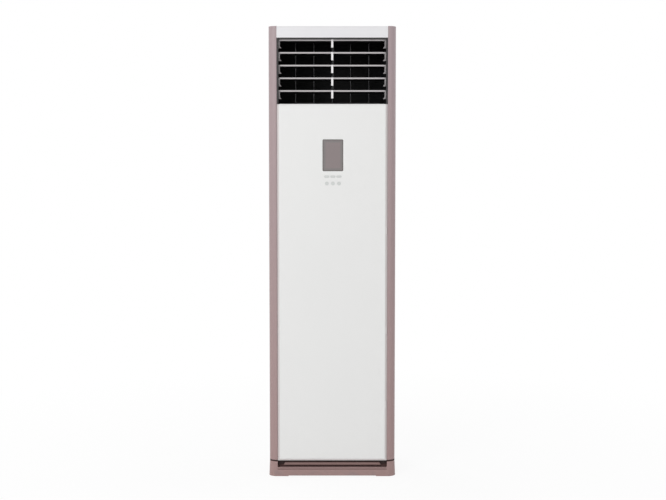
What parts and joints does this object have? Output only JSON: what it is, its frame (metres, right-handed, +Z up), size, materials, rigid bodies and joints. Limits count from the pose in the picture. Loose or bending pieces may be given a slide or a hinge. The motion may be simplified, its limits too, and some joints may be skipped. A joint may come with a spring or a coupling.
{
  "type": "floor standing air conditioner",
  "caption": "Tall floor standing air conditioner: white front panel between rose grey corner columns, louvered outlet at the top, display with push keys, side intakes, blower and coil inside.",
  "frame": {"origin": "on the floor under the middle of the bounding box", "axes": "+Z up, front towards -Y, +X to the right seen from the front"},
  "size_m": [0.505, 0.32, 1.78],
  "materials": {
    "mauve_abs": "satin moulded, rose grey",
    "white_panel_paint": "smooth satin powder coat",
    "white_abs": "satin moulded",
    "cabinet_steel": "fine textured powder coat",
    "galvanised_steel": "spangled zinc",
    "zinc_screws": "zinc plated",
    "pad_rubber": "matte",
    "frame_abs": "moulded, dark brown grey",
    "louver_abs": "satin moulded, light grey",
    "vane_abs": "moulded, black",
    "duct_foam": "expanded foam, black",
    "display_lens": "tinted glossy lens",
    "grey_abs": "moulded",
    "circuit_board": "solder mask",
    "grille_abs": "moulded",
    "filter_frame": "moulded frame with mesh",
    "fin_aluminium": "thin fins",
    "copper_tube": "drawn copper",
    "drain_pvc": "extruded",
    "motor_steel": "satin"
  },
  "bodies": {
    "cabinet": {"base_plinth": "mauve_abs", "base_pan": "galvanised_steel", "foot_pads": "pad_rubber", "left_column": "mauve_abs", "right_column": "mauve_abs", "left_side_panel": "cabinet_steel", "right_side_panel": "cabinet_steel", "rear_panel": "cabinet_steel", "top_cover": "cabinet_steel", "top_fascia": "white_abs", "front_bulkhead": "galvanised_steel", "mid_deck": "galvanised_steel", "outlet_frame": "frame_abs", "swing_motor": "motor_steel", "outlet_duct": "duct_foam", "coil_fins": "fin_aluminium", "coil_bends": "copper_tube", "coil_end_plates": "galvanised_steel", "drain_pan": "grey_abs", "drain_pipe": "drain_pvc", "coolant_pipes": "copper_tube", "pipe_grommet": "pad_rubber", "blower_housing": "grey_abs", "inlet_ring": "grey_abs", "fan_motor": "motor_steel", "motor_bracket": "galvanised_steel", "control_box": "galvanised_steel", "control_board": "circuit_board", "wall_bracket": "cabinet_steel", "case_screws": "zinc_screws"},
    "front_cover": {"front_panel": "white_panel_paint", "display_window": "display_lens", "display_housing": "grey_abs", "display_board": "circuit_board"},
    "key_1": {"key_1": "white_abs"},
    "key_2": {"key_2": "white_abs"},
    "key_3": {"key_3": "white_abs"},
    "key_4": {"key_4": "white_abs"},
    "key_5": {"key_5": "white_abs"},
    "key_6": {"key_6": "white_abs"},
    "louver_1": {"louver_1": "louver_abs"},
    "louver_2": {"louver_2": "louver_abs"},
    "louver_3": {"louver_3": "louver_abs"},
    "louver_4": {"louver_4": "louver_abs"},
    "louver_5": {"louver_5": "louver_abs"},
    "louver_rod": {"louver_link": "frame_abs"},
    "vane_1": {"vane_1": "vane_abs"},
    "vane_2": {"vane_2": "vane_abs"},
    "vane_3": {"vane_3": "vane_abs"},
    "vane_4": {"vane_4": "vane_abs"},
    "vane_5": {"vane_5": "vane_abs"},
    "vane_rod": {"vane_link": "frame_abs"},
    "swing_crank": {"swing_crank": "frame_abs"},
    "blower": {"fan_wheel": "grey_abs", "fan_shaft": "motor_steel"},
    "left_intake": {"left_intake_grille": "grille_abs", "left_intake_filter": "filter_frame"},
    "right_intake": {"right_intake_grille": "grille_abs", "right_intake_filter": "filter_frame"}
  },
  "joints": [
    {"name": "front_cover_lift_off", "type": "slide", "parent": "cabinet", "child": "front_cover", "axis": [0, -1, 0], "range_m": [0, 0.12]},
    {"name": "key_1_press", "type": "slide", "parent": "front_cover", "child": "key_1", "axis": [0, 1, 0], "range_m": [0, 0.001], "stiffness_N_per_m": 300},
    {"name": "key_2_press", "type": "slide", "parent": "front_cover", "child": "key_2", "axis": [0, 1, 0], "range_m": [0, 0.001], "stiffness_N_per_m": 300},
    {"name": "key_3_press", "type": "slide", "parent": "front_cover", "child": "key_3", "axis": [0, 1, 0], "range_m": [0, 0.001], "stiffness_N_per_m": 300},
    {"name": "key_4_press", "type": "slide", "parent": "front_cover", "child": "key_4", "axis": [0, 1, 0], "range_m": [0, 0.001], "stiffness_N_per_m": 300},
    {"name": "key_5_press", "type": "slide", "parent": "front_cover", "child": "key_5", "axis": [0, 1, 0], "range_m": [0, 0.001], "stiffness_N_per_m": 300},
    {"name": "key_6_press", "type": "slide", "parent": "front_cover", "child": "key_6", "axis": [0, 1, 0], "range_m": [0, 0.001], "stiffness_N_per_m": 300},
    {"name": "louver_1_tilt", "type": "hinge", "parent": "cabinet", "child": "louver_1", "pos_m": [0, -0.1239, 1.715], "axis": [1, 0, 0], "range_deg": [-20, 25]},
    {"name": "louver_2_tilt", "type": "hinge", "parent": "cabinet", "child": "louver_2", "pos_m": [0, -0.1239, 1.66555], "axis": [1, 0, 0], "range_deg": [-20, 25]},
    {"name": "louver_3_tilt", "type": "hinge", "parent": "cabinet", "child": "louver_3", "pos_m": [0, -0.1239, 1.6161], "axis": [1, 0, 0], "range_deg": [-20, 25]},
    {"name": "louver_4_tilt", "type": "hinge", "parent": "cabinet", "child": "louver_4", "pos_m": [0, -0.1239, 1.56665], "axis": [1, 0, 0], "range_deg": [-20, 25]},
    {"name": "louver_5_tilt", "type": "hinge", "parent": "cabinet", "child": "louver_5", "pos_m": [0, -0.1239, 1.5172], "axis": [1, 0, 0], "range_deg": [-20, 25]},
    {"name": "louver_rod_pivot", "type": "hinge", "parent": "louver_3", "child": "louver_rod", "pos_m": [0, -0.0916, 1.6121], "axis": [1, 0, 0], "range_deg": [-25, 20]},
    {"name": "vane_1_swing", "type": "hinge", "parent": "cabinet", "child": "vane_1", "pos_m": [-0.1459, -0.0539, 1.492], "axis": [0, 0, 1], "range_deg": [-30, 30]},
    {"name": "vane_2_swing", "type": "hinge", "parent": "cabinet", "child": "vane_2", "pos_m": [-0.07295, -0.0539, 1.492], "axis": [0, 0, 1], "range_deg": [-30, 30]},
    {"name": "vane_3_swing", "type": "hinge", "parent": "cabinet", "child": "vane_3", "pos_m": [0, -0.0539, 1.492], "axis": [0, 0, 1], "range_deg": [-30, 30]},
    {"name": "vane_4_swing", "type": "hinge", "parent": "cabinet", "child": "vane_4", "pos_m": [0.07295, -0.0539, 1.492], "axis": [0, 0, 1], "range_deg": [-30, 30]},
    {"name": "vane_5_swing", "type": "hinge", "parent": "cabinet", "child": "vane_5", "pos_m": [0.1459, -0.0539, 1.492], "axis": [0, 0, 1], "range_deg": [-30, 30]},
    {"name": "vane_rod_pivot", "type": "hinge", "parent": "vane_3", "child": "vane_rod", "pos_m": [0, -0.0379, 1.4867], "axis": [0, 0, 1], "range_deg": [-30, 30]},
    {"name": "crank_turn", "type": "hinge", "parent": "cabinet", "child": "swing_crank", "pos_m": [0.1819, -0.0539, 1.4867], "axis": [0, 0, 1], "range_deg": [-30, 30]},
    {"name": "blower_spin", "type": "hinge", "parent": "cabinet", "child": "blower", "pos_m": [-0.024, 0.09, 0.4], "axis": [0, 1, 0], "continuous": true},
    {"name": "left_intake_pull", "type": "slide", "parent": "cabinet", "child": "left_intake", "axis": [-1, 0, 0], "range_m": [0, 0.06]},
    {"name": "right_intake_pull", "type": "slide", "parent": "cabinet", "child": "right_intake", "axis": [1, 0, 0], "range_m": [0, 0.06]}
  ],
  "couplings": [
    {"joint": "louver_1_tilt", "follows": "louver_3_tilt", "ratio": 1},
    {"joint": "louver_2_tilt", "follows": "louver_3_tilt", "ratio": 1},
    {"joint": "louver_4_tilt", "follows": "louver_3_tilt", "ratio": 1},
    {"joint": "louver_5_tilt", "follows": "louver_3_tilt", "ratio": 1},
    {"joint": "louver_rod_pivot", "follows": "louver_3_tilt", "ratio": -1},
    {"joint": "vane_1_swing", "follows": "vane_3_swing", "ratio": 1},
    {"joint": "vane_2_swing", "follows": "vane_3_swing", "ratio": 1},
    {"joint": "vane_4_swing", "follows": "vane_3_swing", "ratio": 1},
    {"joint": "vane_5_swing", "follows": "vane_3_swing", "ratio": 1},
    {"joint": "vane_rod_pivot", "follows": "vane_3_swing", "ratio": -1},
    {"joint": "crank_turn", "follows": "vane_3_swing", "ratio": 1}
  ]
}
